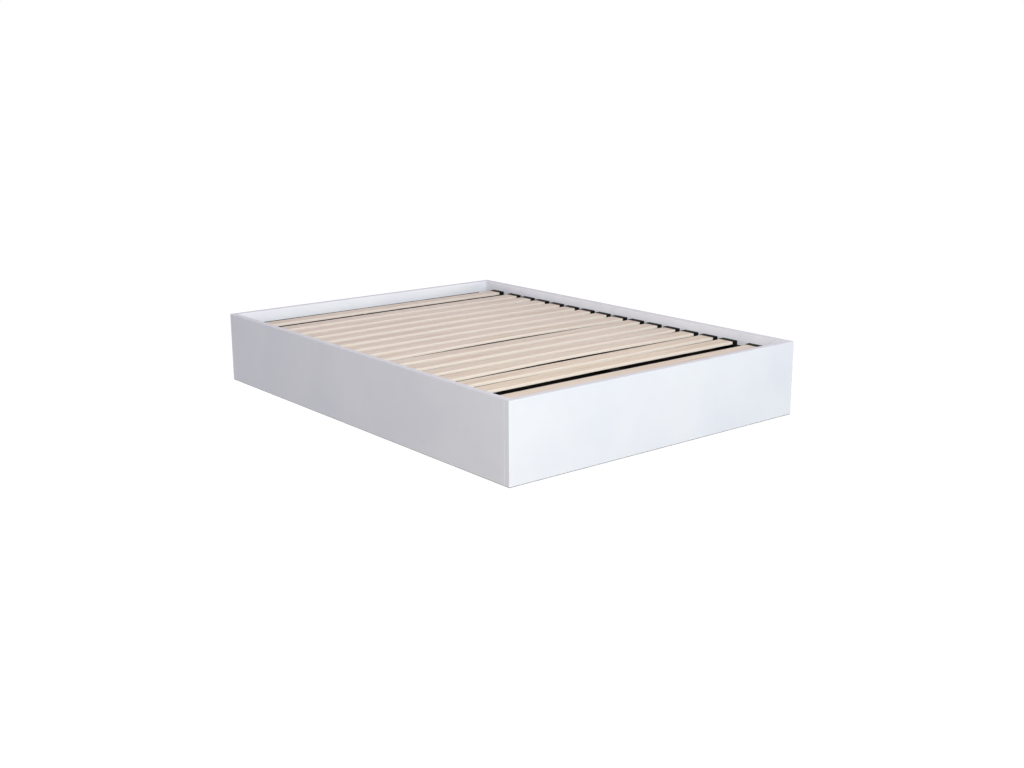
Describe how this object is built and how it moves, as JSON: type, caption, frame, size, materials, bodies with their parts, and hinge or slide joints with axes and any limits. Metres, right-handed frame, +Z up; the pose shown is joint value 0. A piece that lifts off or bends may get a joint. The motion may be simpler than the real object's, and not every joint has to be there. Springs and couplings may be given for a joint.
{
  "type": "slatted box bed base",
  "caption": "Low white box bed base: four floor-standing panels round a recessed deck of sixteen sprung wood slats in black moulded holders, with a centre rail and a levelling leg.",
  "frame": {"origin": "on the floor, under the middle of the bed", "axes": "+X across the bed, +Y towards its head, +Z up"},
  "size_m": [1.448, 1.981, 0.3],
  "materials": {
    "white_lacquer": "satin white lacquer on fibreboard",
    "slat_veneer": "pale laminated veneer, lightly sealed",
    "black_moulding": "moulded polypropylene",
    "black_steel": "black powder coat",
    "zinc_steel": "bright zinc plate"
  },
  "bodies": {
    "bed_frame": {"head_panel": "white_lacquer", "foot_panel": "white_lacquer", "left_side_panel": "white_lacquer", "right_side_panel": "white_lacquer", "left_slat_rail": "black_steel", "right_slat_rail": "black_steel", "centre_rail": "black_steel", "head_rail_hanger": "black_steel", "foot_rail_hanger": "black_steel", "centre_leg": "black_steel", "slat_01": "slat_veneer", "slat_02": "slat_veneer", "slat_03": "slat_veneer", "slat_04": "slat_veneer", "slat_05": "slat_veneer", "slat_06": "slat_veneer", "slat_07": "slat_veneer", "slat_08": "slat_veneer", "slat_09": "slat_veneer", "slat_10": "slat_veneer", "slat_11": "slat_veneer", "slat_12": "slat_veneer", "slat_13": "slat_veneer", "slat_14": "slat_veneer", "slat_15": "slat_veneer", "slat_16": "slat_veneer", "holder_left_01": "black_moulding", "holder_left_02": "black_moulding", "holder_left_03": "black_moulding", "holder_left_04": "black_moulding", "holder_left_05": "black_moulding", "holder_left_06": "black_moulding", "holder_left_07": "black_moulding", "holder_left_08": "black_moulding", "holder_left_09": "black_moulding", "holder_left_10": "black_moulding", "holder_left_11": "black_moulding", "holder_left_12": "black_moulding", "holder_left_13": "black_moulding", "holder_left_14": "black_moulding", "holder_left_15": "black_moulding", "holder_left_16": "black_moulding", "holder_right_01": "black_moulding", "holder_right_02": "black_moulding", "holder_right_03": "black_moulding", "holder_right_04": "black_moulding", "holder_right_05": "black_moulding", "holder_right_06": "black_moulding", "holder_right_07": "black_moulding", "holder_right_08": "black_moulding", "holder_right_09": "black_moulding", "holder_right_10": "black_moulding", "holder_right_11": "black_moulding", "holder_right_12": "black_moulding", "holder_right_13": "black_moulding", "holder_right_14": "black_moulding", "holder_right_15": "black_moulding", "holder_right_16": "black_moulding"},
    "foot": {"foot_pad": "black_moulding"},
    "stem": {"foot_stem": "zinc_steel"}
  },
  "joints": [
    {"name": "foot_travel", "type": "slide", "parent": "bed_frame", "child": "foot", "axis": [0, 0, 1], "range_m": [-0.008, 0.01]},
    {"name": "stem_turn", "type": "hinge", "parent": "foot", "child": "stem", "pos_m": [0, 0, 0.05], "axis": [0, 0, 1], "range_deg": [-1920, 2400]}
  ],
  "couplings": [
    {"joint": "stem_turn", "follows": "foot_travel", "rad_per_m": 4188.8}
  ]
}
